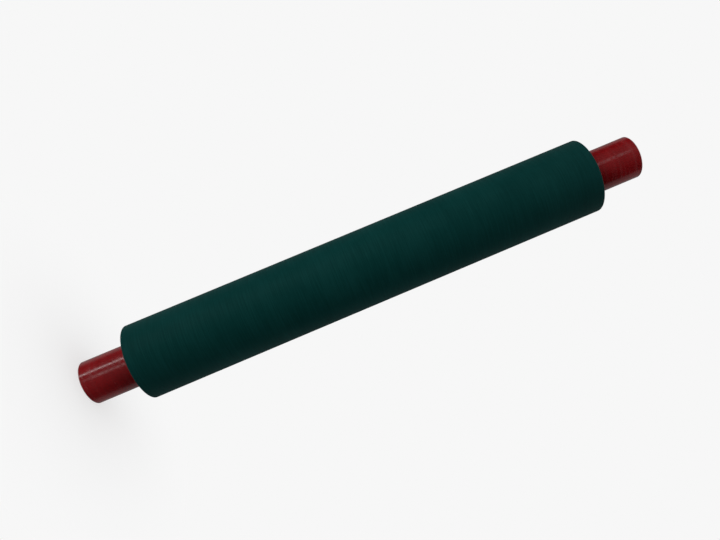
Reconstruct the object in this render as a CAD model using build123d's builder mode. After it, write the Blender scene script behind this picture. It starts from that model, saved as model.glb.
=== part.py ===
from build123d import *
import os

# Water form roller: a rubber-covered steel tube that turns on two sealed ball bearings, one in each end.
# It stands on its lower end face. +Z runs along its axis, and the origin is the centre of that face.
# All sizes are in millimetres.

# Tube and cover
seat_wall = 3.0  # wall of the tube around each bearing
seat_shoulder = 3.0  # step that each bearing rests against
neck_length = 38.5  # bare tube past each end of the cover
rim_chamfer = 0.6
mouth_chamfer = 0.5
cover_diameter = 56.0
cover_length = 352.0
cover_edge_radius = 0.5

# Ball bearing, the metric deep-groove size 10 x 26 x 8, sealed on both sides
bearing_bore = 10.0
bearing_diameter = 26.0
ring_corner = 0.3
ball_diameter = 4.762
ball_count = 7
ball_clearance = 0.03
groove_depth = 0.781  # how deep a ball sits below the shoulders of a ring
groove_conformity = 0.52  # radius of the ball groove, as a share of the ball's diameter

# Pressed cage, two ribbons riveted together
cage_sheet = 0.35
cage_side_clearance = 0.5
pocket_clearance = 0.08
seal_clearance = 0.189
rivet_diameter = 0.8
rivet_head = 1.2
rivet_head_height = 0.3

# Seals, which snap into the outer ring and wipe a step in the inner ring
seal_thickness = 0.8
seal_inset = 0.2
seal_seat_step = 0.75  # depth of the seal's seat beyond the outer ring's shoulder
seal_snap = 0.2  # how far the lip of the seat grips over the seal's rim
seal_web = 0.45
seal_bead = 0.6
seal_land_step = 0.4
lip_clearance = 0.1

# Retaining ring that holds each bearing in its seat
clip_thickness = 1.2
clip_side_clearance = 0.1
clip_groove_depth = 0.6
clip_groove_inset = 2.5
clip_widest = 3.1
clip_narrowest = 1.5
clip_gap = 3.0
clip_lug_radius = 1.9
clip_lug_hole = 2.0
clip_lug_inset = 2.5  # from the groove's bottom to the centre of the lug's hole

core_diameter = bearing_diameter + 2 * seat_wall
core_bore = bearing_diameter - 2 * seat_shoulder
core_length = cover_length + 2 * neck_length

pitch_radius = (bearing_bore + bearing_diameter) / 4
ball_radius = ball_diameter / 2
groove_radius = groove_conformity * ball_diameter
groove_shift = groove_radius - ball_radius - ball_clearance
inner_shoulder = pitch_radius - ball_radius + groove_depth
outer_shoulder = pitch_radius + ball_radius - groove_depth

pocket_radius = ball_radius + pocket_clearance
rivet_turn = 180 / ball_count
seal_land = inner_shoulder - seal_land_step
seal_seat = outer_shoulder + seal_seat_step
seal_room = seal_inset + seal_thickness
bearing_width = 2 * (pocket_radius + cage_sheet + seal_clearance + seal_room)
side_face = bearing_width / 2
seal_middle = side_face - seal_inset - seal_thickness / 2

clip_groove_radius = bearing_diameter / 2 + clip_groove_depth
clip_groove_width = clip_thickness + clip_side_clearance
seat_depth = clip_groove_inset + clip_groove_width + bearing_width
bearing_depth = seat_depth - side_face

os.makedirs("parts", exist_ok=True)

# The two ends of the tube, as planes that look inwards
end_faces = {
    "lower": Plane.XY,
    "upper": Plane(origin=(0, 0, core_length), x_dir=(1, 0, 0), z_dir=(0, 0, -1)),
}


def save(piece, name):
    piece.part.label = name
    export_step(piece.part, f"parts/{name}.step")


# Steel tube: plain outside, bored through, with a stepped seat and a retaining ring groove in each end
with BuildPart() as core_tube:
    with BuildSketch(Plane.XY):
        Circle(core_diameter / 2)
        Circle(core_bore / 2, mode=Mode.SUBTRACT)
    extrude(amount=core_length)
    for end_face in end_faces.values():
        with BuildSketch(end_face):
            Circle(bearing_diameter / 2)
        extrude(amount=seat_depth, mode=Mode.SUBTRACT)
        with BuildSketch(end_face.offset(clip_groove_inset)):
            Circle(clip_groove_radius)
        extrude(amount=clip_groove_width, mode=Mode.SUBTRACT)
    for face in (core_tube.faces().sort_by(Axis.Z)[0], core_tube.faces().sort_by(Axis.Z)[-1]):
        chamfer(face.outer_wire().edges(), rim_chamfer)
        chamfer(face.inner_wires().edges(), mouth_chamfer)
save(core_tube, "core_tube")

# Rubber cover, bonded to the tube and ground to size
with BuildPart() as rubber_cover:
    with BuildSketch(Plane.XY.offset(neck_length)):
        Circle(cover_diameter / 2)
        Circle(core_diameter / 2, mode=Mode.SUBTRACT)
    extrude(amount=cover_length)
    rims = rubber_cover.edges().filter_by(GeomType.CIRCLE).group_by(SortBy.RADIUS)[-1]
    fillet(rims, cover_edge_radius)
save(rubber_cover, "rubber_cover")

# The bearing and its retaining ring are made once, about the middle of the bearing, with +Z inwards.
# Rings: each is half of its section in the XZ plane, with the ball groove and what the seals need, revolved
with BuildPart() as outer_ring:
    with BuildSketch(Plane.XZ) as ring_section:
        with Locations(((bearing_diameter / 2 + outer_shoulder) / 2, 0)):
            Rectangle(bearing_diameter / 2 - outer_shoulder, bearing_width)
        chamfer(ring_section.vertices().group_by(Axis.X)[-1], ring_corner)
        with Locations((pitch_radius - groove_shift, 0)):
            Circle(groove_radius, mode=Mode.SUBTRACT)
        with Locations((pitch_radius, -side_face), (pitch_radius, side_face)):
            Rectangle(2 * (seal_seat - seal_snap - pitch_radius), 2 * seal_inset, mode=Mode.SUBTRACT)
        with Locations((pitch_radius, -seal_middle), (pitch_radius, seal_middle)):
            Rectangle(2 * (seal_seat - pitch_radius), seal_thickness, mode=Mode.SUBTRACT)
    revolve(axis=Axis.Z)

with BuildPart() as inner_ring:
    with BuildSketch(Plane.XZ) as ring_section:
        with Locations(((bearing_bore / 2 + inner_shoulder) / 2, 0)):
            Rectangle(inner_shoulder - bearing_bore / 2, bearing_width)
        chamfer(ring_section.vertices().group_by(Axis.X)[0], ring_corner)
        with Locations((pitch_radius + groove_shift, 0)):
            Circle(groove_radius, mode=Mode.SUBTRACT)
        with Locations((pitch_radius, -side_face), (pitch_radius, side_face)):
            Rectangle(2 * (pitch_radius - seal_land), 2 * seal_room, mode=Mode.SUBTRACT)
    revolve(axis=Axis.Z)

# The balls stay separate solids of one node
with BuildPart() as balls:
    with PolarLocations(pitch_radius, ball_count):
        Sphere(ball_radius)

# Cage: two ribbons with domed pockets, which meet between the balls, where rivets hold them together
with BuildPart() as inboard_cage_half:
    with PolarLocations(pitch_radius, ball_count):
        Sphere(pocket_radius + cage_sheet, rotation=(0, 90, 0))
    with BuildSketch() as cage_band:
        Circle(outer_shoulder - cage_side_clearance)
        Circle(inner_shoulder + cage_side_clearance, mode=Mode.SUBTRACT)
    extrude(amount=bearing_width, mode=Mode.INTERSECT)
    extrude(cage_band.sketch, amount=cage_sheet)
    with PolarLocations(pitch_radius, ball_count):
        Sphere(pocket_radius, rotation=(0, 90, 0), mode=Mode.SUBTRACT)
    with PolarLocations(pitch_radius, ball_count, start_angle=rivet_turn):
        Hole(rivet_diameter / 2)

with BuildPart() as outboard_cage_half:
    mirror(inboard_cage_half.part, about=Plane.XY)

head_height = cage_sheet + rivet_head_height / 2
with BuildPart() as cage_rivets:
    with PolarLocations(pitch_radius, ball_count, start_angle=rivet_turn):
        Cylinder(rivet_diameter / 2, 2 * cage_sheet)
        with Locations((0, 0, head_height), (0, 0, -head_height)):
            Cylinder(rivet_head / 2, rivet_head_height)

# Seal: a thick rim in the outer ring's seat, a thin web, and a lip that just clears the inner ring
lip_radius = seal_land + lip_clearance
seal_bands = [
    (seal_seat - seal_bead, seal_seat, seal_thickness),
    (lip_radius + seal_bead, seal_seat - seal_bead, seal_web),
    (lip_radius, lip_radius + seal_bead, seal_thickness - 2 * lip_clearance),
]
with BuildPart() as inboard_seal:
    with BuildSketch(Plane.XZ):
        for inner, outer, thickness in seal_bands:
            with Locations(((inner + outer) / 2, seal_middle)):
                Rectangle(outer - inner, thickness)
    revolve(axis=Axis.Z)

with BuildPart() as outboard_seal:
    mirror(inboard_seal.part, about=Plane.XY)

# Retaining ring: widest opposite its gap, with a drilled lug on each side of the gap
clip_inner_radius = clip_groove_radius - (clip_widest + clip_narrowest) / 2
lug_offset = clip_gap / 2 + clip_lug_radius
lug_height = ((clip_groove_radius - clip_lug_inset) ** 2 - lug_offset**2) ** 0.5
lug_places = [(-lug_offset, lug_height), (lug_offset, lug_height)]
with BuildPart() as retaining_ring:
    with BuildSketch(Plane.XY.offset(-side_face)):
        Circle(clip_groove_radius)
        with Locations((0, (clip_widest - clip_narrowest) / 2)):
            Circle(clip_inner_radius, mode=Mode.SUBTRACT)
        with Locations(*lug_places):
            Circle(clip_lug_radius)
        Circle(clip_groove_radius, mode=Mode.INTERSECT)
        with Locations((0, clip_groove_radius)):
            Rectangle(clip_gap, 2 * clip_widest, mode=Mode.SUBTRACT)
        with Locations(*lug_places):
            Circle(clip_lug_hole / 2, mode=Mode.SUBTRACT)
    extrude(amount=-clip_thickness)

# Each end gets a copy of every piece
bearing_pieces = {
    "bearing_outer_ring": outer_ring,
    "bearing_inner_ring": inner_ring,
    "bearing_balls": balls,
    "cage_outboard_half": outboard_cage_half,
    "cage_inboard_half": inboard_cage_half,
    "cage_rivets": cage_rivets,
    "outboard_seal": outboard_seal,
    "inboard_seal": inboard_seal,
    "retaining_ring": retaining_ring,
}
for end_name, end_face in end_faces.items():
    for piece_name, piece in bearing_pieces.items():
        with BuildPart(end_face.offset(bearing_depth)) as placed:
            add(piece.part)
        save(placed, f"{end_name}_{piece_name}")
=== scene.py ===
import math

import bmesh
import bpy
from mathutils import Matrix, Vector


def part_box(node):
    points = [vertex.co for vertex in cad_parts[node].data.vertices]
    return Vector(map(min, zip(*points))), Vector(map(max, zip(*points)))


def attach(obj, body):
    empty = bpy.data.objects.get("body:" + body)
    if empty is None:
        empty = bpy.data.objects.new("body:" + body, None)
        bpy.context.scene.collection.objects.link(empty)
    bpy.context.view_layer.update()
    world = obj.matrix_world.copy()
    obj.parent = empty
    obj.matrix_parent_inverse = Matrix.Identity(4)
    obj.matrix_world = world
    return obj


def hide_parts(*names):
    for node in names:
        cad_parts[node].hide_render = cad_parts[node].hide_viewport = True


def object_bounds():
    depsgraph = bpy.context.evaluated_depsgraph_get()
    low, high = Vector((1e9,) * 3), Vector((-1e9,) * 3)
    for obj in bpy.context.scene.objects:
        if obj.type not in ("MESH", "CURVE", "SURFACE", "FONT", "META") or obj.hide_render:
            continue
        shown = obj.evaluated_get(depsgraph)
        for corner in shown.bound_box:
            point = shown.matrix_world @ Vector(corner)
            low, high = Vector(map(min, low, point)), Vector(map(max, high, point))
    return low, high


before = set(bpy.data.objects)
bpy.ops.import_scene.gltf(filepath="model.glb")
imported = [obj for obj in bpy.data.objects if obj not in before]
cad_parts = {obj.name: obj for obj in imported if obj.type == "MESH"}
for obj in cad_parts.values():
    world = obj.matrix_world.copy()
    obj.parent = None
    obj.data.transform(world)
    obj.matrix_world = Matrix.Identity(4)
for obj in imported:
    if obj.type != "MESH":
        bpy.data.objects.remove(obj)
cadLow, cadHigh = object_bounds()

mm = 0.001  # the pieces are given in millimetres, and the studio in metres
ends = ("lower", "upper")


def say(stage):
    print("form roller:", stage)


def newObject(name, data):
    thing = bpy.data.objects.new(name, data)
    bpy.context.scene.collection.objects.link(thing)
    return thing


# Node helpers

def emptyTree(owner):  # of a material or of the world
    owner.use_nodes = True
    owner.node_tree.nodes.clear()
    return owner.node_tree


def addNode(tree, kind, values=(), **settings):
    node = tree.nodes.new(kind)
    for name, value in settings.items():
        setattr(node, name, value)
    for name, value in dict(values).items():
        node.inputs[name].default_value = value
    return node


def feed(tree, socket, value):  # the value is a link, a number, a colour or nothing
    if isinstance(value, bpy.types.NodeSocket):
        tree.links.new(value, socket)
    elif isinstance(value, tuple) and len(value) == 3 and socket.type == "RGBA":
        socket.default_value = (*value, 1.0)
    elif value is not None:
        socket.default_value = value


def calculate(tree, operation, first, second=None, third=None):
    node = addNode(tree, "ShaderNodeMath", operation=operation)
    for index, value in enumerate((first, second, third)):
        feed(tree, node.inputs[index], value)
    return node.outputs[0]


def between(tree, value, start, stop, low=0.0, high=1.0):  # a smooth step
    limits = {"From Min": start, "From Max": stop, "To Min": low, "To Max": high}
    node = addNode(tree, "ShaderNodeMapRange", limits, interpolation_type="SMOOTHSTEP")
    tree.links.new(value, node.inputs["Value"])
    return node.outputs["Result"]


def mixColours(tree, factor, first, second):
    node = addNode(tree, "ShaderNodeMix", data_type="RGBA")
    for index, value in ((0, factor), (6, first), (7, second)):
        feed(tree, node.inputs[index], value)
    return node.outputs[2]


def mixShaders(tree, factor, first, second):
    node = addNode(tree, "ShaderNodeMixShader")
    for index, value in enumerate((factor, first, second)):
        tree.links.new(value, node.inputs[index])
    return node.outputs[0]


def stretch(tree, vector, scale):
    node = addNode(tree, "ShaderNodeMapping", {"Scale": scale})
    tree.links.new(vector, node.inputs["Vector"])
    return node.outputs["Vector"]


def cloud(tree, vector, scale, detail, roughness=0.5):
    node = addNode(tree, "ShaderNodeTexNoise", {"Scale": scale, "Detail": detail, "Roughness": roughness})
    tree.links.new(vector, node.inputs["Vector"])
    return node.outputs["Fac"]


def addBump(tree, height, depth, normal=None):  # depth is in millimetres
    node = addNode(tree, "ShaderNodeBump", {"Strength": 1.0, "Distance": depth * mm})
    tree.links.new(height, node.inputs["Height"])
    if normal is not None:
        tree.links.new(normal, node.inputs["Normal"])
    return node.outputs["Normal"]


# Materials

def startMaterial(name):
    material = bpy.data.materials.new(name)
    tree = emptyTree(material)
    shader = addNode(tree, "ShaderNodeBsdfPrincipled")
    output = addNode(tree, "ShaderNodeOutputMaterial")
    tree.links.new(shader.outputs[0], output.inputs["Surface"])
    place = addNode(tree, "ShaderNodeTexCoord").outputs["Object"]
    return material, tree, shader, place


def axisRadius(tree, place):  # distance from the roller's axis
    flat = stretch(tree, place, (1.0, 1.0, 0.0))
    node = addNode(tree, "ShaderNodeVectorMath", operation="LENGTH")
    tree.links.new(flat, node.inputs[0])
    return node.outputs["Value"]


# Noise drawn out into lines round the axis, on the side and on the end faces alike
def ringMarks(tree, place, radius, perMetre, drift, detail):
    parts = addNode(tree, "ShaderNodeSeparateXYZ")
    tree.links.new(place, parts.inputs[0])
    along = calculate(tree, "ADD", parts.outputs["Z"], radius)
    joined = addNode(tree, "ShaderNodeCombineXYZ")
    for index, value in ((0, parts.outputs["X"]), (1, parts.outputs["Y"])):
        feed(tree, joined.inputs[index], calculate(tree, "MULTIPLY", value, drift))
    feed(tree, joined.inputs[2], calculate(tree, "MULTIPLY", along, perMetre))
    return cloud(tree, joined.outputs[0], 1.0, detail)


# In the finishes below, marks are (number to the metre, change on their way round, detail), and noises are
# (scale, detail) or (scale, detail, roughness). What ends in Band is the two noise levels between which a
# look sets in

paint = {
    "colour": (0.205, 0.0042, 0.0060),
    "deepToneAndRimShade": (0.172, 0.0030, 0.0044),
    "steel": (0.40, 0.39, 0.37),
    "darkSteel": (0.30, 0.29, 0.275),
    "steelRadius": (13.90, 14.05),  # the paint ends here, and bore, groove, mouth and their edges are bare
    "unevenness": 0.35,  # how much further in it reaches in places, at most
    "rimShadeRadius": (15.90, 15.97),  # inside this, on the end faces and the rim's chamfer, the paint is deeper in colour: painted shade for the dark line round the rim
    "rough": 0.12,
    "scuffedRough": 0.05,  # this and the next two add to it where the paint is scuffed, combed or cloudy
    "combedRough": 0.12,
    "cloudyRough": 0.05,
    "steelRough": (0.26, 0.2),  # least, and what the fine marks add
    "coarseMarks": (640.0, 30.0, 1.0),
    "fineMarks": (3600.0, 30.0, 2.0),
    "clouds": (60.0, 4.0),
    "wobble": (320.0, 2.0),
    "peel": (700.0, 1.0),
    "scuffs": (1.0, 5.0, 0.65),
    "scuffStretch": (150.0, 150.0, 420.0),
    "cloudyBand": (0.35, 0.65),
    "scuffedBand": (0.56, 0.72),
    "combedBand": (0.38, 0.66),
    "coarseDepth": 0.05,
    "fineDepth": 0.0015,
    "peelDepth": 0.004,
    "ior": 1.5,
}


def makePaint():
    material, tree, shader, place = startMaterial("corePaint")
    radius = axisRadius(tree, place)
    coarse = ringMarks(tree, place, radius, *paint["coarseMarks"])
    fine = ringMarks(tree, place, radius, *paint["fineMarks"])
    clouds = cloud(tree, place, *paint["clouds"])
    wobble = cloud(tree, place, *paint["wobble"])
    peel = cloud(tree, place, *paint["peel"])
    scuffs = cloud(tree, stretch(tree, place, paint["scuffStretch"]), *paint["scuffs"])
    scuffed = between(tree, scuffs, *paint["scuffedBand"])
    combed = between(tree, coarse, *paint["combedBand"])

    edge = calculate(tree, "ADD", radius, calculate(tree, "MULTIPLY", wobble, paint["unevenness"] * mm))
    painted = between(tree, edge, *(border * mm for border in paint["steelRadius"]))
    clearOfRimShade = between(tree, radius, *(border * mm for border in paint["rimShadeRadius"]))
    cloudy = between(tree, clouds, *paint["cloudyBand"])
    red = mixColours(tree, cloudy, paint["deepToneAndRimShade"], paint["colour"])
    # painted shade: the end faces and the rim chamfer take the deeper red, which also serves as the
    # paint's random cloudy tone
    red = mixColours(tree, clearOfRimShade, paint["deepToneAndRimShade"], red)
    steel = mixColours(tree, fine, paint["darkSteel"], paint["steel"])
    feed(tree, shader.inputs["Base Color"], mixColours(tree, painted, steel, red))
    feed(tree, shader.inputs["Metallic"], calculate(tree, "SUBTRACT", 1.0, painted))

    rough = calculate(tree, "MULTIPLY_ADD", scuffed, paint["scuffedRough"], paint["rough"])
    rough = calculate(tree, "MULTIPLY_ADD", combed, paint["combedRough"], rough)
    rough = calculate(tree, "MULTIPLY_ADD", clouds, paint["cloudyRough"], rough)
    least, fromMarks = paint["steelRough"]
    bare = calculate(tree, "MULTIPLY_ADD", fine, fromMarks, least)
    rough = calculate(tree, "MULTIPLY_ADD", calculate(tree, "SUBTRACT", rough, bare), painted, bare)
    feed(tree, shader.inputs["Roughness"], rough)
    normal = addBump(tree, coarse, paint["coarseDepth"])
    normal = addBump(tree, fine, paint["fineDepth"], normal)
    feed(tree, shader.inputs["Normal"], addBump(tree, peel, paint["peelDepth"], normal))
    shader.inputs["IOR"].default_value = paint["ior"]
    return material


rubber = {
    "colour": (0.0002, 0.0268, 0.0246),
    "dryColour": (0.0022, 0.0378, 0.0350),
    "rough": (0.49, 0.12, 0.05),  # least, and what the dry places and the grain add
    "specular": 0.06,
    "grindMarks": (1800.0, 45.0, 3.0),
    "wideMarks": (70.0, 8.0, 3.0),
    "grain": (2600.0, 2.0),
    "clouds": (26.0, 5.0, 0.6),
    "dryShares": (0.50, 0.15, 0.35),  # of the grind marks, the wide marks and the clouds
    "dryBand": (0.38, 0.66),
    "grindDepth": 0.014,
    "grainDepth": 0.012,
}


def makeRubber():
    material, tree, shader, place = startMaterial("coverRubber")
    radius = axisRadius(tree, place)
    grind = ringMarks(tree, place, radius, *rubber["grindMarks"])
    wide = ringMarks(tree, place, radius, *rubber["wideMarks"])
    grain = cloud(tree, place, *rubber["grain"])
    clouds = cloud(tree, place, *rubber["clouds"])
    grindShare, wideShare, cloudShare = rubber["dryShares"]
    dry = calculate(tree, "MULTIPLY", clouds, cloudShare)
    dry = calculate(tree, "MULTIPLY_ADD", wide, wideShare, dry)
    dry = calculate(tree, "MULTIPLY_ADD", grind, grindShare, dry)
    tone = between(tree, dry, *rubber["dryBand"])
    feed(tree, shader.inputs["Base Color"], mixColours(tree, tone, rubber["colour"], rubber["dryColour"]))
    least, fromDry, fromGrain = rubber["rough"]
    rough = calculate(tree, "MULTIPLY_ADD", dry, fromDry, least)
    feed(tree, shader.inputs["Roughness"], calculate(tree, "MULTIPLY_ADD", grain, fromGrain, rough))
    normal = addBump(tree, grind, rubber["grindDepth"])
    feed(tree, shader.inputs["Normal"], addBump(tree, grain, rubber["grainDepth"], normal))
    shader.inputs["Specular IOR Level"].default_value = rubber["specular"]
    return material


steels = {  # patches is how far the roughness varies from place to place
    "ring_steel": {
        "name": "ringSteel", "colour": (0.60, 0.60, 0.61), "darkColour": (0.50, 0.50, 0.51),
        "rough": 0.24, "patches": 0.10, "marks": (5200.0, 120.0, 2.0), "markDepth": 0.0012,
    },
    "ball_steel": {
        "name": "ballSteel", "colour": (0.68, 0.68, 0.69), "darkColour": (0.63, 0.63, 0.64),
        "rough": 0.08, "patches": 0.03, "marks": (1500.0, 120.0, 2.0), "markDepth": 0.0001,
    },
    "cage_steel": {
        "name": "cageSteel", "colour": (0.50, 0.48, 0.45), "darkColour": (0.38, 0.36, 0.33),
        "rough": 0.36, "patches": 0.10, "marks": (2600.0, 120.0, 2.0), "markDepth": 0.0020,
    },
    "clip_steel": {
        "name": "clipSteel", "colour": (0.130, 0.127, 0.122), "darkColour": (0.062, 0.062, 0.064),
        "rough": 0.42, "patches": 0.16, "marks": (3000.0, 120.0, 2.0), "markDepth": 0.0020,
    },
}
steelTone = {
    "clouds": (240.0, 4.0, 0.6),
    "shares": (0.4, 0.6),  # of the marks and the clouds
    "darkBand": (0.35, 0.65),
}


def makeSteel(steel):
    material, tree, shader, place = startMaterial(steel["name"])
    marks = ringMarks(tree, place, axisRadius(tree, place), *steel["marks"])
    clouds = cloud(tree, place, *steelTone["clouds"])
    markShare, cloudShare = steelTone["shares"]
    mixed = calculate(tree, "MULTIPLY", clouds, cloudShare)
    mixed = calculate(tree, "MULTIPLY_ADD", marks, markShare, mixed)
    tone = between(tree, mixed, *steelTone["darkBand"])
    feed(tree, shader.inputs["Base Color"], mixColours(tree, tone, steel["darkColour"], steel["colour"]))
    least = steel["rough"] - steel["patches"] / 2
    rough = calculate(tree, "MULTIPLY_ADD", clouds, steel["patches"], least)
    feed(tree, shader.inputs["Roughness"], rough)
    feed(tree, shader.inputs["Normal"], addBump(tree, marks, steel["markDepth"]))
    shader.inputs["Metallic"].default_value = 1.0
    return material


sealFinish = {
    "colour": (0.016, 0.016, 0.017),
    "paleColour": (0.030, 0.030, 0.030),
    "rough": (0.42, 0.16),  # least, and what the clouds add
    "specular": 0.4,
    "grain": (3800.0, 2.0),
    "clouds": (210.0, 4.0),
    "paleBand": (0.4, 0.7),
    "grainDepth": 0.006,
}


def makeSealRubber():
    material, tree, shader, place = startMaterial("sealRubber")
    grain = cloud(tree, place, *sealFinish["grain"])
    clouds = cloud(tree, place, *sealFinish["clouds"])
    tone = between(tree, clouds, *sealFinish["paleBand"])
    colour = mixColours(tree, tone, sealFinish["colour"], sealFinish["paleColour"])
    feed(tree, shader.inputs["Base Color"], colour)
    least, fromClouds = sealFinish["rough"]
    feed(tree, shader.inputs["Roughness"], calculate(tree, "MULTIPLY_ADD", clouds, fromClouds, least))
    feed(tree, shader.inputs["Normal"], addBump(tree, grain, sealFinish["grainDepth"]))
    shader.inputs["Specular IOR Level"].default_value = sealFinish["specular"]
    return material


finishes = {slot: makeSteel(steel) for slot, steel in steels.items()}
finishes["core_paint"] = makePaint()
finishes["cover_rubber"] = makeRubber()
finishes["seal_rubber"] = makeSealRubber()
say("materials made")


# Geometry Nodes: trees and what they share

weldDistance = 1e-6  # in metres
holeSteps = 32


def newTree(name, inputs):
    tree = bpy.data.node_groups.new(name, "GeometryNodeTree")
    tree.interface.new_socket("Geometry", in_out="INPUT", socket_type="NodeSocketGeometry")
    for label, kind, value in inputs:
        socket = tree.interface.new_socket(label, in_out="INPUT", socket_type="NodeSocket" + kind)
        socket.default_value = value
    tree.interface.new_socket("Material", in_out="INPUT", socket_type="NodeSocketMaterial")
    tree.interface.new_socket("Geometry", in_out="OUTPUT", socket_type="NodeSocketGeometry")
    return tree, addNode(tree, "NodeGroupInput"), addNode(tree, "NodeGroupOutput")


def endTree(tree, geometry, source, output):
    real = addNode(tree, "GeometryNodeRealizeInstances")
    colour = addNode(tree, "GeometryNodeSetMaterial")
    tree.links.new(geometry, real.inputs["Geometry"])
    tree.links.new(real.outputs["Geometry"], colour.inputs["Geometry"])
    tree.links.new(source.outputs["Material"], colour.inputs["Material"])
    tree.links.new(colour.outputs["Geometry"], output.inputs["Geometry"])
    return tree


def roundedOutline(tree, source):  # what comes in as a bare outline, with its corners rounded
    curve = addNode(tree, "GeometryNodeMeshToCurve")
    radius = addNode(tree, "GeometryNodeInputNamedAttribute", {"Name": "cornerRadius"}, data_type="FLOAT")
    fillet = addNode(tree, "GeometryNodeFilletCurve", {"Limit Radius": True}, mode="POLY")
    tree.links.new(source.outputs["Geometry"], curve.inputs[0])
    tree.links.new(curve.outputs[0], fillet.inputs["Curve"])
    tree.links.new(source.outputs["Corner Steps"], fillet.inputs["Count"])
    tree.links.new(radius.outputs["Attribute"], fillet.inputs["Radius"])
    return fillet.outputs["Curve"]


def makeTurnedTree():  # rounds the corners of a section and turns it about the axis
    tree, source, output = newTree("Turned piece", [
        ("Steps Round", "Int", 192),
        ("Corner Steps", "Int", 5),
        ("Path Radius", "Float", 0.01),
    ])
    link = tree.links.new
    section = roundedOutline(tree, source)
    inward = addNode(tree, "ShaderNodeMath", {1: -1.0}, operation="MULTIPLY")
    shift = addNode(tree, "ShaderNodeCombineXYZ")
    place = addNode(tree, "GeometryNodeSetPosition")
    circle = addNode(tree, "GeometryNodeCurvePrimitiveCircle")
    upright = addNode(tree, "GeometryNodeSetCurveNormal", mode="Z_UP")
    turned = addNode(tree, "GeometryNodeCurveToMesh")
    closed = addNode(tree, "GeometryNodeMergeByDistance", {"Distance": weldDistance})
    smooth = addNode(tree, "GeometryNodeSetShadeSmooth")
    link(source.outputs["Path Radius"], inward.inputs[0])
    link(inward.outputs[0], shift.inputs["X"])
    link(section, place.inputs["Geometry"])
    link(shift.outputs[0], place.inputs["Offset"])
    link(source.outputs["Steps Round"], circle.inputs["Resolution"])
    link(source.outputs["Path Radius"], circle.inputs["Radius"])
    link(circle.outputs["Curve"], upright.inputs["Curve"])
    link(upright.outputs["Curve"], turned.inputs["Curve"])
    link(place.outputs["Geometry"], turned.inputs["Profile Curve"])
    link(turned.outputs["Mesh"], closed.inputs["Geometry"])
    link(closed.outputs["Geometry"], smooth.inputs["Geometry"])
    return endTree(tree, smooth.outputs["Geometry"], source, output)


def makeCopiesTree():  # copies of one small piece, spaced evenly on a circle
    tree, source, output = newTree("Ring of copies", [
        ("Count", "Int", 7),
        ("Pitch Radius", "Float", 0.009),
        ("First Turn", "Float", 0.0),
        ("Height", "Float", 0.0),
    ])
    link = tree.links.new
    circle = addNode(tree, "GeometryNodeMeshCircle")
    turn = addNode(tree, "ShaderNodeCombineXYZ")
    lift = addNode(tree, "ShaderNodeCombineXYZ")
    place = addNode(tree, "GeometryNodeTransform")
    copies = addNode(tree, "GeometryNodeInstanceOnPoints")
    smooth = addNode(tree, "GeometryNodeSetShadeSmooth")
    real = addNode(tree, "GeometryNodeRealizeInstances")
    link(source.outputs["Count"], circle.inputs["Vertices"])
    link(source.outputs["Pitch Radius"], circle.inputs["Radius"])
    link(source.outputs["First Turn"], turn.inputs["Z"])
    link(source.outputs["Height"], lift.inputs["Z"])
    link(circle.outputs["Mesh"], place.inputs["Geometry"])
    link(turn.outputs[0], place.inputs["Rotation"])
    link(lift.outputs[0], place.inputs["Translation"])
    link(place.outputs["Geometry"], copies.inputs["Points"])
    link(source.outputs["Geometry"], copies.inputs["Instance"])
    link(copies.outputs["Instances"], real.inputs["Geometry"])
    link(real.outputs["Geometry"], smooth.inputs["Geometry"])
    return endTree(tree, smooth.outputs["Geometry"], source, output)


def makeStampedTree():  # a flat outline with holes, as thick as the sheet it is stamped from
    tree, source, output = newTree("Stamped ring", [
        ("Thickness", "Float", 0.0012),
        ("Corner Steps", "Int", 6),
        ("Hole Radius", "Float", 0.001),
        ("Hole Offset", "Float", 0.0034),
        ("Hole Height", "Float", 0.0106),
        ("Base Height", "Float", 0.0),
    ])
    link = tree.links.new
    border = roundedOutline(tree, source)
    hole = addNode(tree, "GeometryNodeCurvePrimitiveCircle", {"Resolution": holeSteps})
    outlines = addNode(tree, "GeometryNodeJoinGeometry")
    fill = addNode(tree, "GeometryNodeFillCurve", mode="TRIANGLES")
    lift = addNode(tree, "ShaderNodeCombineXYZ")
    placed = addNode(tree, "GeometryNodeTransform")
    thick = addNode(tree, "GeometryNodeExtrudeMesh", {"Individual": False}, mode="FACES")
    back = addNode(tree, "GeometryNodeFlipFaces")
    whole = addNode(tree, "GeometryNodeJoinGeometry")
    closed = addNode(tree, "GeometryNodeMergeByDistance", {"Distance": weldDistance})
    link(source.outputs["Hole Radius"], hole.inputs["Radius"])
    link(border, outlines.inputs[0])
    for side in (-1.0, 1.0):
        offset = addNode(tree, "ShaderNodeMath", {1: side}, operation="MULTIPLY")
        spot = addNode(tree, "ShaderNodeCombineXYZ")
        moved = addNode(tree, "GeometryNodeTransform")
        link(source.outputs["Hole Offset"], offset.inputs[0])
        link(offset.outputs[0], spot.inputs["X"])
        link(source.outputs["Hole Height"], spot.inputs["Y"])
        link(hole.outputs["Curve"], moved.inputs["Geometry"])
        link(spot.outputs[0], moved.inputs["Translation"])
        link(moved.outputs["Geometry"], outlines.inputs[0])
    link(outlines.outputs[0], fill.inputs["Curve"])
    link(source.outputs["Base Height"], lift.inputs["Z"])
    link(fill.outputs["Mesh"], placed.inputs["Geometry"])
    link(lift.outputs[0], placed.inputs["Translation"])
    link(placed.outputs["Geometry"], thick.inputs["Mesh"])
    link(source.outputs["Thickness"], thick.inputs["Offset Scale"])
    link(placed.outputs["Geometry"], back.inputs["Mesh"])
    link(thick.outputs["Mesh"], whole.inputs[0])
    link(back.outputs["Mesh"], whole.inputs[0])
    link(whole.outputs[0], closed.inputs["Geometry"])
    return endTree(tree, closed.outputs["Geometry"], source, output)


turnedTree = makeTurnedTree()
copiesTree = makeCopiesTree()
stampedTree = makeStampedTree()


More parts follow.
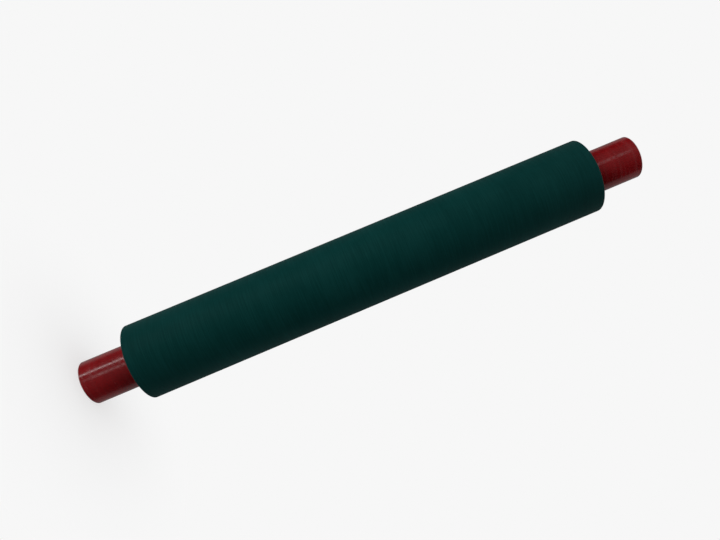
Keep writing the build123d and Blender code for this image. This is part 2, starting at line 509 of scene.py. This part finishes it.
# Turns what a tree makes into a plain mesh, with its modifiers gone
def applyTree(piece, tree, values, name, finishers=()):
    modifier = piece.modifiers.new(tree.name, "NODES")
    modifier.node_group = tree
    sockets = {item.name: item.identifier for item in tree.interface.items_tree if item.in_out == "INPUT"}
    for label, value in values.items():
        modifier[sockets[label]] = value
    for kind, settings in finishers:
        finisher = piece.modifiers.new(kind, kind)
        for label, value in settings.items():
            setattr(finisher, label, value)
    mesh = bpy.data.meshes.new_from_object(piece.evaluated_get(bpy.context.evaluated_depsgraph_get()))
    piece.modifiers.clear()
    bpy.data.objects.remove(piece)
    mesh.name = name
    mesh.materials.clear()  # the tree leaves an empty slot beside its material on some pieces
    mesh.materials.append(values["Material"])
    return newObject(name, mesh)


def join(piece, body, node):  # puts a piece under its body, and hides the CAD node it stands for
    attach(piece, body)
    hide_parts(node)


# Outlines are lists of (radius, height, corner radius), going round a section. A fineness is the number of
# steps round the axis, the steps in each corner, and the longest run along the outline

def arc(middle, radius, start, stop, steps):
    turns = [math.radians(start + (stop - start) * step / steps) for step in range(steps + 1)]
    return [(middle[0] + radius * math.cos(t), middle[1] + radius * math.sin(t), 0.0) for t in turns]


def mirrored(outline):  # the same run on the other side of height 0, going on round the section
    return [(radius, -height, corner) for radius, height, corner in reversed(outline)]


supports = {
    "reach": 1.25,  # distance of a point from its corner, in corner radii
    "shortest": 0.02,  # a shorter run gets none
    "inset": 0.001,  # share of a run, at each end, that stays free of them
}


# Adds points beside each rounded corner, and along each long run, so that the shading stays even
def withSupports(outline, longest):
    points = []
    for index, (radius, height, corner) in enumerate(outline):
        points.append((radius, height, corner))
        nextRadius, nextHeight, nextCorner = outline[(index + 1) % len(outline)]
        run = math.hypot(nextRadius - radius, nextHeight - height)
        first = corner * supports["reach"]
        last = run - nextCorner * supports["reach"]
        if last - first < supports["shortest"]:
            continue
        divisions = max(1, math.ceil((last - first) / longest))
        for part in range(divisions + 1):
            share = (first + (last - first) * part / divisions) / run
            if supports["inset"] < share < 1 - supports["inset"]:
                across = (nextRadius - radius) * share
                upwards = (nextHeight - height) * share
                points.append((radius + across, height + upwards, 0.0))
    return points


def outlineObject(outline, closed=True, flat=False):  # flat ones are stamped, the others turned
    area = sum(a[0] * b[1] - b[0] * a[1] for a, b in zip(outline, outline[1:] + outline[:1]))
    if (area > 0) != flat:
        outline = outline[::-1]  # so that the faces point outwards
    sign = 1 if flat else -1
    mesh = bpy.data.meshes.new("outline")
    lastEdge = len(outline) if closed else len(outline) - 1
    edges = [(index, (index + 1) % len(outline)) for index in range(lastEdge)]
    mesh.from_pydata([(r * mm, sign * h * mm, 0) for r, h, corner in outline], edges, [])
    corners = mesh.attributes.new("cornerRadius", "FLOAT", "POINT")
    corners.data.foreach_set("value", [corner * mm for r, h, corner in outline])
    return newObject("outline", mesh)


def turn(name, outline, slot, body, node, fineness):
    stepsRound, cornerSteps, longest = fineness
    values = {"Steps Round": stepsRound, "Corner Steps": cornerSteps, "Material": finishes[slot]}
    piece = outlineObject(withSupports(outline, longest))
    join(applyTree(piece, turnedTree, values, name), body, node)


# Tube, stepped and bored for a bearing at each end

tube = {
    "bore": 10.0,
    "seat": 13.0,
    "seatDepth": 11.8,
    "grooveRadius": 13.6,
    "grooveDepth": (2.5, 3.8),
    "mouth": 0.5,  # chamfer on the inside of the end face
    "rim": 0.6,  # chamfer on its outside
    "paintedCorner": 0.25,
    "mouthCorner": 0.15,
    "cutCorner": 0.08,
    "fineness": (224, 5, 12.0),
}


def makeTube():
    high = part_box("core_tube")[1]
    outside, length = high.x / mm, high.z / mm
    seat, groove, cut = tube["seat"], tube["grooveRadius"], tube["cutCorner"]
    profile = [
        (tube["bore"], tube["seatDepth"], cut),
        (seat, tube["seatDepth"], cut),
        (seat, tube["grooveDepth"][1], cut),
        (groove, tube["grooveDepth"][1], cut),
        (groove, tube["grooveDepth"][0], cut),
        (seat, tube["grooveDepth"][0], cut),
        (seat, tube["mouth"], tube["mouthCorner"]),
        (seat + tube["mouth"], 0.0, tube["mouthCorner"]),
        (outside - tube["rim"], 0.0, tube["paintedCorner"]),
        (outside, tube["rim"], tube["paintedCorner"]),
    ]
    otherEnd = [(radius, length - depth, corner) for radius, depth, corner in reversed(profile)]
    turn("coreTube", profile + otherEnd, "core_paint", "roller", "core_tube", tube["fineness"])


makeTube()
say("tube turned")


# Rubber cover, ground to size

cover = {"edgeRadius": 0.5, "fineness": (256, 8, 12.0)}


def makeCover():
    low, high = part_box("rubber_cover")
    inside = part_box("core_tube")[1].x / mm
    outside, bottom, top = high.x / mm, low.z / mm, high.z / mm
    edge = cover["edgeRadius"]
    profile = [(inside, bottom, 0.0), (outside, bottom, edge), (outside, top, edge), (inside, top, 0.0)]
    turn("rubberCover", profile, "cover_rubber", "roller", "rubber_cover", cover["fineness"])


makeCover()
say("cover turned")


# Ball bearings and what holds them

bearing = {
    "bore": 5.0,
    "outside": 13.0,
    "halfWidth": 4.0,
    "pitch": 9.0,  # radius of the circle that the balls run on
    "ball": 2.381,  # radius
    "balls": 7,
    "grooveRadius": 2.476,
    "grooveShift": 0.065,
    "innerShoulder": 7.4,
    "outerShoulder": 10.6,
    "sealLand": 7.0,
    "sealSeat": 11.35,
    "sealMouth": 11.15,
    "sealDepth": (0.2, 1.0),  # from the ring's face to the seat and to its floor
    "corner": 0.3,
    "corners": (0.08, 0.05, 0.03),  # radii: on the outside, at the seal's mouth, in its seat
    "grooveSteps": 16,
    "ballSubdivisions": 5,
    "outerFineness": (160, 3, 2.0),
    "innerFineness": (128, 3, 2.0),
}


def grooveArc(side, shoulder):  # the ball groove, from one shoulder to the other
    middle = bearing["pitch"] - side * bearing["grooveShift"]
    reach = math.degrees(math.acos(side * (shoulder - middle) / bearing["grooveRadius"]))
    start = 0.0 if side > 0 else 180.0
    steps = bearing["grooveSteps"]
    return arc((middle, 0.0), bearing["grooveRadius"], start - reach, start + reach, steps)


def outerRingOutline():
    half, corner = bearing["halfWidth"], bearing["corner"]
    rim, deep = (half - depth for depth in bearing["sealDepth"])
    broken, mouth, seated = bearing["corners"]
    side = [
        (bearing["outside"], half - corner, broken),
        (bearing["outside"] - corner, half, broken),
        (bearing["sealMouth"], half, mouth),
        (bearing["sealMouth"], rim, seated),
        (bearing["sealSeat"], rim, seated),
        (bearing["sealSeat"], deep, seated),
        (bearing["outerShoulder"], deep, seated),
    ]
    return side + grooveArc(1, bearing["outerShoulder"])[::-1] + mirrored(side)


def innerRingOutline():
    half, corner = bearing["halfWidth"], bearing["corner"]
    deep = half - bearing["sealDepth"][1]
    broken, mouth, seated = bearing["corners"]
    side = [
        (bearing["bore"], half - corner, broken),
        (bearing["bore"] + corner, half, broken),
        (bearing["sealLand"], half, mouth),
        (bearing["sealLand"], deep, seated),
        (bearing["innerShoulder"], deep, seated),
    ]
    return side + grooveArc(-1, bearing["innerShoulder"]) + mirrored(side)


seal = {
    "middle": 3.4,  # from the bearing's middle
    "rim": (10.75, 0.40),  # inner radius and half the thickness, as in the next two
    "web": (7.70, 0.225),
    "lip": (7.10, 0.30),
    "bead": (8.85, 9.55, 0.10),  # inner and outer radius, height
    "slope": 0.10,
    "corners": {"tip": 0.10, "step": 0.08, "foot": 0.05, "bead": 0.06, "seat": 0.12},
    "fineness": (144, 3, 2.0),
}


def sealOutline():
    rimShadeRadius, rimHalf = seal["rim"]
    webRadius, webHalf = seal["web"]
    lipRadius, lipHalf = seal["lip"]
    beadStart, beadStop, beadHeight = seal["bead"]
    slope, corners = seal["slope"], seal["corners"]
    face = [
        (lipRadius, lipHalf, corners["tip"]),
        (webRadius - slope, lipHalf, corners["step"]),
        (webRadius, webHalf, corners["foot"]),
        (beadStart - beadHeight, webHalf, corners["foot"]),
        (beadStart, webHalf + beadHeight, corners["bead"]),
        (beadStop, webHalf + beadHeight, corners["bead"]),
        (beadStop + beadHeight, webHalf, corners["foot"]),
        (rimShadeRadius - slope, webHalf, corners["step"]),
        (rimShadeRadius, rimHalf, corners["tip"]),
        (bearing["sealSeat"], rimHalf, corners["seat"]),
    ]
    return face + mirrored(face)


def lifted(outline, height):
    return [(radius, level + height, corner) for radius, level, corner in outline]


def makeBall():
    shape = bmesh.new()
    divisions, radius = bearing["ballSubdivisions"], bearing["ball"] * mm
    bmesh.ops.create_icosphere(shape, subdivisions=divisions, radius=radius)
    mesh = bpy.data.meshes.new("ball")
    shape.to_mesh(mesh)
    shape.free()
    return newObject("ball", mesh)


rivet = {
    "shank": 0.40,  # radius, as the next
    "head": 0.60,
    "sheets": 0.35,  # thickness of one cage half
    "headHeight": 0.30,
    "easing": 0.02,  # of the head's edge, and of the corner under it
    "domeSteps": 8,
    "stepsRound": 24,
}


def makeRivet():  # domed heads on a straight shank
    head, crown, easing = rivet["head"], rivet["headHeight"], rivet["easing"]
    domeRadius = (head**2 + crown**2) / (2 * crown)
    reach = math.degrees(math.asin(head / domeRadius))
    top = rivet["sheets"] + crown
    dome = arc((0.0, top - domeRadius), domeRadius, 90 - reach, 90, rivet["domeSteps"])
    upper = [(rivet["shank"], rivet["sheets"] - easing, 0.0), (head - easing, rivet["sheets"], 0.0)] + dome
    outline = [(max(radius, 0.0), height, corner) for radius, height, corner in mirrored(upper) + upper]
    values = {"Steps Round": rivet["stepsRound"], "Corner Steps": 1, "Material": finishes["cage_steel"]}
    return applyTree(outlineObject(outline, closed=False), turnedTree, values, "rivet")


def makeCopies(piece, firstTurn, height, slot, name, body, node):
    values = {
        "Count": bearing["balls"],
        "Pitch Radius": bearing["pitch"] * mm,
        "First Turn": firstTurn,
        "Height": height * mm,
        "Material": finishes[slot],
    }
    join(applyTree(piece, copiesTree, values, name), body, node)


clip = {
    "outside": 13.6,
    "inside": 11.3,
    "shift": 0.8,  # the inner circle's centre lies this far towards the gap
    "gap": 3.0,
    "lug": 1.9,
    "hole": 1.0,
    "lugInset": 2.5,
    "edge": 0.10,
    "edgeSteps": 3,
    "edgeAngle": 0.7,  # edges that turn by more than this, in radians, are broken
    "joinRadius": 0.5,
    "gapCorner": 0.3,
    "lugSteps": 20,
    "innerSteps": 150,
    "outerSteps": 200,
}


def clipOutline():
    half = clip["gap"] / 2
    lugX = half + clip["lug"]
    lugY = math.sqrt((clip["outside"] - clip["lugInset"]) ** 2 - lugX**2)
    apart = math.hypot(lugX, lugY - clip["shift"])  # where the lug meets the inner circle
    along = (clip["inside"] ** 2 - clip["lug"] ** 2 + apart**2) / (2 * apart)
    across = math.sqrt(clip["inside"] ** 2 - along**2)
    towards = (lugX / apart, (lugY - clip["shift"]) / apart)
    meetX = along * towards[0] + across * towards[1]
    meetY = along * towards[1] - across * towards[0]
    innerStart = math.degrees(math.atan2(meetY, meetX))
    lugStop = math.degrees(math.atan2(meetY + clip["shift"] - lugY, meetX - lugX)) + 360
    outerStart = math.degrees(math.acos(half / clip["outside"]))
    rightLug = arc((lugX, lugY), clip["lug"], 180, lugStop, clip["lugSteps"])
    leftLug = [(-x, y, corner) for x, y, corner in reversed(rightLug)]
    inner = arc((0, clip["shift"]), clip["inside"], innerStart, -180 - innerStart, clip["innerSteps"])
    outer = arc((0, 0), clip["outside"], -180 - outerStart, outerStart, clip["outerSteps"])
    corners = (
        (rightLug, -1, clip["joinRadius"]), (leftLug, 0, clip["joinRadius"]),
        (outer, 0, clip["gapCorner"]), (outer, -1, clip["gapCorner"]),
    )
    for run, index, corner in corners:
        run[index] = (*run[index][:2], corner)
    return outer + rightLug + inner[1:-1] + leftLug, lugX, lugY


def makeClip(end, name, node):
    low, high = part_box(node)
    outline, lugX, lugY = clipOutline()
    facing = 1 if end == "lower" else -1  # the gap is towards +Y below and -Y above
    outline = [(x, facing * y, corner) for x, y, corner in outline]
    values = {
        "Thickness": high.z - low.z,
        "Hole Radius": clip["hole"] * mm,
        "Hole Offset": lugX * mm,
        "Hole Height": facing * lugY * mm,
        "Base Height": low.z,
        "Material": finishes["clip_steel"],
    }
    bevel = {
        "width": clip["edge"] * mm,
        "segments": clip["edgeSteps"],
        "limit_method": "ANGLE",
        "angle_limit": clip["edgeAngle"],
    }
    finishers = [("BEVEL", bevel), ("WEIGHTED_NORMAL", {"keep_sharp": True})]
    piece = applyTree(outlineObject(outline, flat=True), stampedTree, values, name, finishers)
    for face in piece.data.polygons:
        face.use_smooth = True
    join(piece, "roller", node)


for end in ends:
    low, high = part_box(end + "_bearing_outer_ring")
    middle = (low.z + high.z) / 2 / mm
    outward = -1 if end == "lower" else 1
    turn(end + "OuterRing", lifted(outerRingOutline(), middle), "ring_steel", "roller",
         end + "_bearing_outer_ring", bearing["outerFineness"])
    turn(end + "InnerRing", lifted(innerRingOutline(), middle), "ring_steel", end + "_inner_ring",
         end + "_bearing_inner_ring", bearing["innerFineness"])
    for side, direction in (("outboard", outward), ("inboard", -outward)):
        turn(f"{end}{side.capitalize()}Seal", lifted(sealOutline(), middle + direction * seal["middle"]),
             "seal_rubber", "roller", f"{end}_{side}_seal", seal["fineness"])
    makeCopies(makeBall(), 0.0, middle, "ball_steel", end + "Balls",
               end + "_ball_set", end + "_bearing_balls")
    makeCopies(makeRivet(), math.pi / bearing["balls"], middle, "cage_steel",
               end + "CageRivets", end + "_ball_set", end + "_cage_rivets")
    for side in ("outboard", "inboard"):
        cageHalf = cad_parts[f"{end}_cage_{side}_half"]
        cageHalf.data.materials[0] = finishes["cage_steel"]
    makeClip(end, end + "RetainingRing", end + "_retaining_ring")
    say(end + " bearing made")


# Studio: a pale floor and background, two soft lamps, and soft surroundings that the gloss shows

studio = {
    "background": 0.93,
    "softbox": {"place": (-0.940, -0.610, 0.05), "size": 0.85, "power": 6.0},
    "fill": {"place": (0.50, 0.23, 0.05), "size": 0.4, "power": 0.4},
    "ceiling": 1.35,  # level above the surroundings
    "underneath": 1.0,  # level below them
    "brightest": 8.0,  # a colour ramp ends at 1, so it holds the levels below as shares of this
    # what the lower and the upper end mirror: azimuth from the camera towards -X in degrees, level
    "lowerSurroundings": [
        (-180, 0.24), (-104, 0.24), (-93, 0.05), (-62, 0.03), (-40, 0.06), (0, 0.12), (13, 0.17),
        (49, 0.17), (52, 4.8), (54, 7.4), (56, 4.8), (59, 0.17), (75, 0.13), (91, 0.06), (108, 0.08),
        (118, 0.32), (180, 0.32),
    ],
    "upperSurroundings": [
        (-180, 0.24), (-98, 0.24), (-88, 0.01), (-40, 0.01), (0, 0.10), (43, 0.17), (75, 0.12),
        (91, 0.02), (112, 0.03), (124, 0.26), (180, 0.26),
    ],
    "changeover": 0.12,  # of height, either side of the horizon, in which the one passes into the other
    # short lamps whose mirror image the turning marks break up, in degrees, with the reach each way
    "slats": [
        {"azimuth": 23, "reach": 9.0, "height": -23.5, "rise": 2.6, "level": 2.8},
        {"azimuth": 31, "reach": 11.0, "height": 27.5, "rise": 2.6, "level": 1.4},
    ],
    "slatCore": 0.3,  # share of a slat that is at its full level
    "bandHeight": (36, 46),  # the surroundings end here, in degrees above and below the horizon
}


def makeRamp(tree, share, levels):
    ramp = addNode(tree, "ShaderNodeValToRGB")
    stops = ramp.color_ramp.elements
    while len(stops) > 1:
        stops.remove(stops[-1])
    for index, (angle, level) in enumerate(levels):
        stop = stops[0] if index == 0 else stops.new(angle / 360 + 0.5)
        stop.position = angle / 360 + 0.5
        stop.color = (*[level / studio["brightest"]] * 3, 1.0)
    tree.links.new(share, ramp.inputs[0])
    return ramp.outputs[0]


def makeWorld():
    world = bpy.data.worlds.new("studio")
    bpy.context.scene.world = world
    tree = emptyTree(world)
    output = addNode(tree, "ShaderNodeOutputWorld")
    direction = addNode(tree, "ShaderNodeTexCoord").outputs["Generated"]
    parts = addNode(tree, "ShaderNodeSeparateXYZ")
    tree.links.new(direction, parts.inputs[0])
    x, y = (calculate(tree, "MULTIPLY", parts.outputs[label], -1.0) for label in ("X", "Y"))
    z = parts.outputs["Z"]
    azimuth = calculate(tree, "ARCTAN2", x, y)
    share = calculate(tree, "MULTIPLY_ADD", azimuth, 1 / (2 * math.pi), 0.5)
    ramps = [makeRamp(tree, share, studio[side + "Surroundings"]) for side in ends]
    upper = between(tree, z, -studio["changeover"], studio["changeover"])
    band = calculate(tree, "MULTIPLY", mixColours(tree, upper, *ramps), studio["brightest"])
    start, stop = (math.sin(math.radians(angle)) for angle in studio["bandHeight"])
    above = between(tree, z, start, stop)
    below = between(tree, z, -start, -stop)
    inBand = calculate(tree, "SUBTRACT", 1.0, calculate(tree, "ADD", above, below))
    level = calculate(tree, "MULTIPLY", band, inBand)
    for slat in studio["slats"]:
        angles = (slat[key] for key in ("azimuth", "reach", "height", "rise"))
        middle, reach, height, rise = (math.radians(angle) for angle in angles)
        aside = calculate(tree, "ABSOLUTE", calculate(tree, "SUBTRACT", azimuth, middle))
        beyond = calculate(tree, "ABSOLUTE", calculate(tree, "SUBTRACT", z, math.sin(height)))
        across = between(tree, aside, reach, reach * studio["slatCore"])
        upwards = between(tree, beyond, rise, rise * studio["slatCore"])
        patch = calculate(tree, "MULTIPLY", across, upwards)
        level = calculate(tree, "MULTIPLY_ADD", patch, slat["level"], level)
    level = calculate(tree, "MULTIPLY_ADD", above, studio["ceiling"], level)
    level = calculate(tree, "MULTIPLY_ADD", below, studio["underneath"], level)
    surroundings = addNode(tree, "ShaderNodeBackground")
    tree.links.new(level, surroundings.inputs["Strength"])
    backdrop = addNode(tree, "ShaderNodeBackground", {"Strength": studio["background"]})
    for shade in (surroundings, backdrop):
        shade.inputs["Color"].default_value = (1.0, 1.0, 1.0, 1.0)
    seen = addNode(tree, "ShaderNodeLightPath").outputs["Is Camera Ray"]
    mixed = mixShaders(tree, seen, surroundings.outputs[0], backdrop.outputs[0])
    tree.links.new(mixed, output.inputs["Surface"])


floorSettings = {  # in metres
    "reach": 4.0,
    "height": -0.00002,
    "albedo": 0.88,
    "lift": 0.13,  # brings the lit floor up to the background's level
    "shadowShare": 0.4,  # how much of the shadow shows near the axis
    "shadowRadius": (0.02, 0.14),  # between these it fades out
}


def makeFloor():
    mesh = bpy.data.meshes.new("studioFloor")
    reach = floorSettings["reach"]
    corners = [(-reach, -reach), (reach, -reach), (reach, reach), (-reach, reach)]
    mesh.from_pydata([(x, y, floorSettings["height"]) for x, y in corners], [], [(0, 1, 2, 3)])
    floor = newObject("studioFloor", mesh)
    material = bpy.data.materials.new("studioFloor")
    tree = emptyTree(material)
    output = addNode(tree, "ShaderNodeOutputMaterial")
    place = addNode(tree, "ShaderNodeTexCoord").outputs["Object"]
    start, stop = floorSettings["shadowRadius"]
    share = between(tree, axisRadius(tree, place), start, stop, floorSettings["shadowShare"], 0.0)
    matt = addNode(tree, "ShaderNodeBsdfDiffuse", {"Color": (*[floorSettings["albedo"]] * 3, 1.0)})
    lift = addNode(tree, "ShaderNodeEmission", {"Strength": floorSettings["lift"]})
    lit = addNode(tree, "ShaderNodeAddShader")
    tree.links.new(matt.outputs[0], lit.inputs[0])
    tree.links.new(lift.outputs[0], lit.inputs[1])
    plain = addNode(tree, "ShaderNodeEmission", {"Strength": studio["background"]})
    shadowed = mixShaders(tree, share, plain.outputs[0], lit.outputs[0])
    # clear from below, so that the lower end can be seen from there
    under = addNode(tree, "ShaderNodeNewGeometry").outputs["Backfacing"]
    clear = addNode(tree, "ShaderNodeBsdfTransparent")
    oneSided = mixShaders(tree, under, shadowed, clear.outputs[0])
    tree.links.new(oneSided, output.inputs["Surface"])
    mesh.materials.append(material)
    floor.visible_glossy = False
    floor.visible_diffuse = False
    floor.visible_shadow = False


def makeLamp(name):
    lamp = newObject(name, bpy.data.lights.new(name, "AREA"))
    lamp.data.size = studio[name]["size"]
    lamp.data.energy = studio[name]["power"]
    lamp.location = studio[name]["place"]
    aim = (cadLow + cadHigh) / 2 - lamp.location
    lamp.rotation_euler = aim.to_track_quat("-Z", "Y").to_euler()
    lamp.visible_glossy = False


photoCamera = {  # place in metres, angles in degrees, lens and sensor in millimetres
    "place": (0.0, -0.42689, 0.19813),
    "turned": -3.399,
    "upwards": 3.044,
    "roll": 67.111,
    "sensor": 36.0,
    "lens": 29.018,
    "nearest": 0.01,
    "shift": (-0.0403, 0.0351),  # the photograph is a little off its lens's axis
}


def makeCamera():
    camera = newObject("photoCamera", bpy.data.cameras.new("photoCamera"))
    camera.data.sensor_width = photoCamera["sensor"]
    camera.data.lens = photoCamera["lens"]
    camera.data.shift_x, camera.data.shift_y = photoCamera["shift"]
    camera.data.clip_start = photoCamera["nearest"]
    turned = Matrix.Rotation(math.radians(photoCamera["turned"]), 4, "Z")
    level = Matrix.Rotation(math.radians(90 + photoCamera["upwards"]), 4, "X")
    roll = Matrix.Rotation(math.radians(photoCamera["roll"]), 4, "Z")
    camera.matrix_world = Matrix.Translation(photoCamera["place"]) @ turned @ level @ roll
    bpy.context.scene.camera = camera


makeWorld()
makeFloor()
makeLamp("softbox")
makeLamp("fill")
makeCamera()
bpy.context.scene.view_settings.view_transform = "Standard"
say("studio set")

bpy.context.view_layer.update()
say("done")
